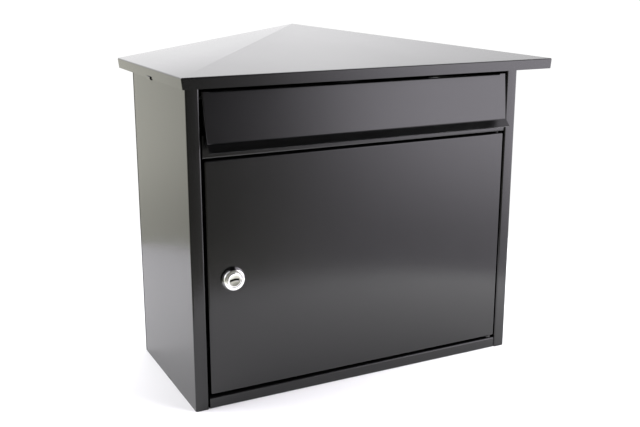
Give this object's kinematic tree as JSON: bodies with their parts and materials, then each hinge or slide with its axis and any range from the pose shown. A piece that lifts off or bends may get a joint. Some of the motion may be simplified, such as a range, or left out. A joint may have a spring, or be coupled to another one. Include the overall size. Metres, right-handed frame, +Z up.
{
  "type": "wall mounted mailbox",
  "caption": "Wall mailbox in black powder-coated sheet steel with a hip roof, a lift-up letter flap and a lockable front door.",
  "frame": {"origin": "on the back panel's outer face, at the centre of its four wall screw holes; the underside is 160 mm below and the apex 198.7 mm above", "axes": "+X to the right seen from the front, +Y out of the back into the wall, +Z up; the front faces -Y"},
  "size_m": [0.4004, 0.2068, 0.3587],
  "materials": {
    "powder_coat": "satin black powder coat on 1 mm steel sheet",
    "chrome": "polished chrome plate",
    "zinc": "bright zinc plate on steel",
    "black_steel": "black oxide on steel",
    "rubber": "matt black",
    "nylon": "black nylon"
  },
  "bodies": {
    "casing": {"back_panel": "powder_coat", "base_tray": "powder_coat", "cross_rail": "powder_coat", "header_rail": "powder_coat", "left_side_panel": "powder_coat", "right_side_panel": "powder_coat", "roof": "powder_coat", "roof_clip_left": "powder_coat", "roof_clip_right": "powder_coat", "door_stop_lower": "powder_coat", "door_stop_upper": "powder_coat", "door_buffer_lower": "rubber", "door_buffer_upper": "rubber", "flap_bumper_left": "rubber", "flap_bumper_right": "rubber", "flap_hinge_rod": "black_steel", "flap_rod_cap_left": "black_steel", "flap_rod_cap_right": "black_steel", "door_pin_top": "black_steel", "door_pin_bottom": "black_steel", "door_washer": "nylon"},
    "flap": {"letter_flap": "powder_coat"},
    "door": {"door_panel": "powder_coat", "lock_body": "chrome", "lock_nut": "zinc", "lock_washer": "zinc"},
    "lock_core": {"lock_plug": "chrome", "lock_cam": "zinc", "cam_washer": "zinc", "cam_screw": "zinc"}
  },
  "joints": [
    {"name": "flap_hinge", "type": "hinge", "parent": "casing", "child": "flap", "pos_m": [0, -0.164, 0.1455], "axis": [-1, 0, 0], "range_deg": [0, 75]},
    {"name": "door_hinge", "type": "hinge", "parent": "casing", "child": "door", "pos_m": [0.1646, -0.1652, -0.0295], "axis": [0, 0, 1], "range_deg": [0, 110]},
    {"name": "lock_turn", "type": "hinge", "parent": "door", "child": "lock_core", "pos_m": [-0.1437, -0.1697, -0.0295], "axis": [0, 1, 0], "range_deg": [0, 90]}
  ]
}
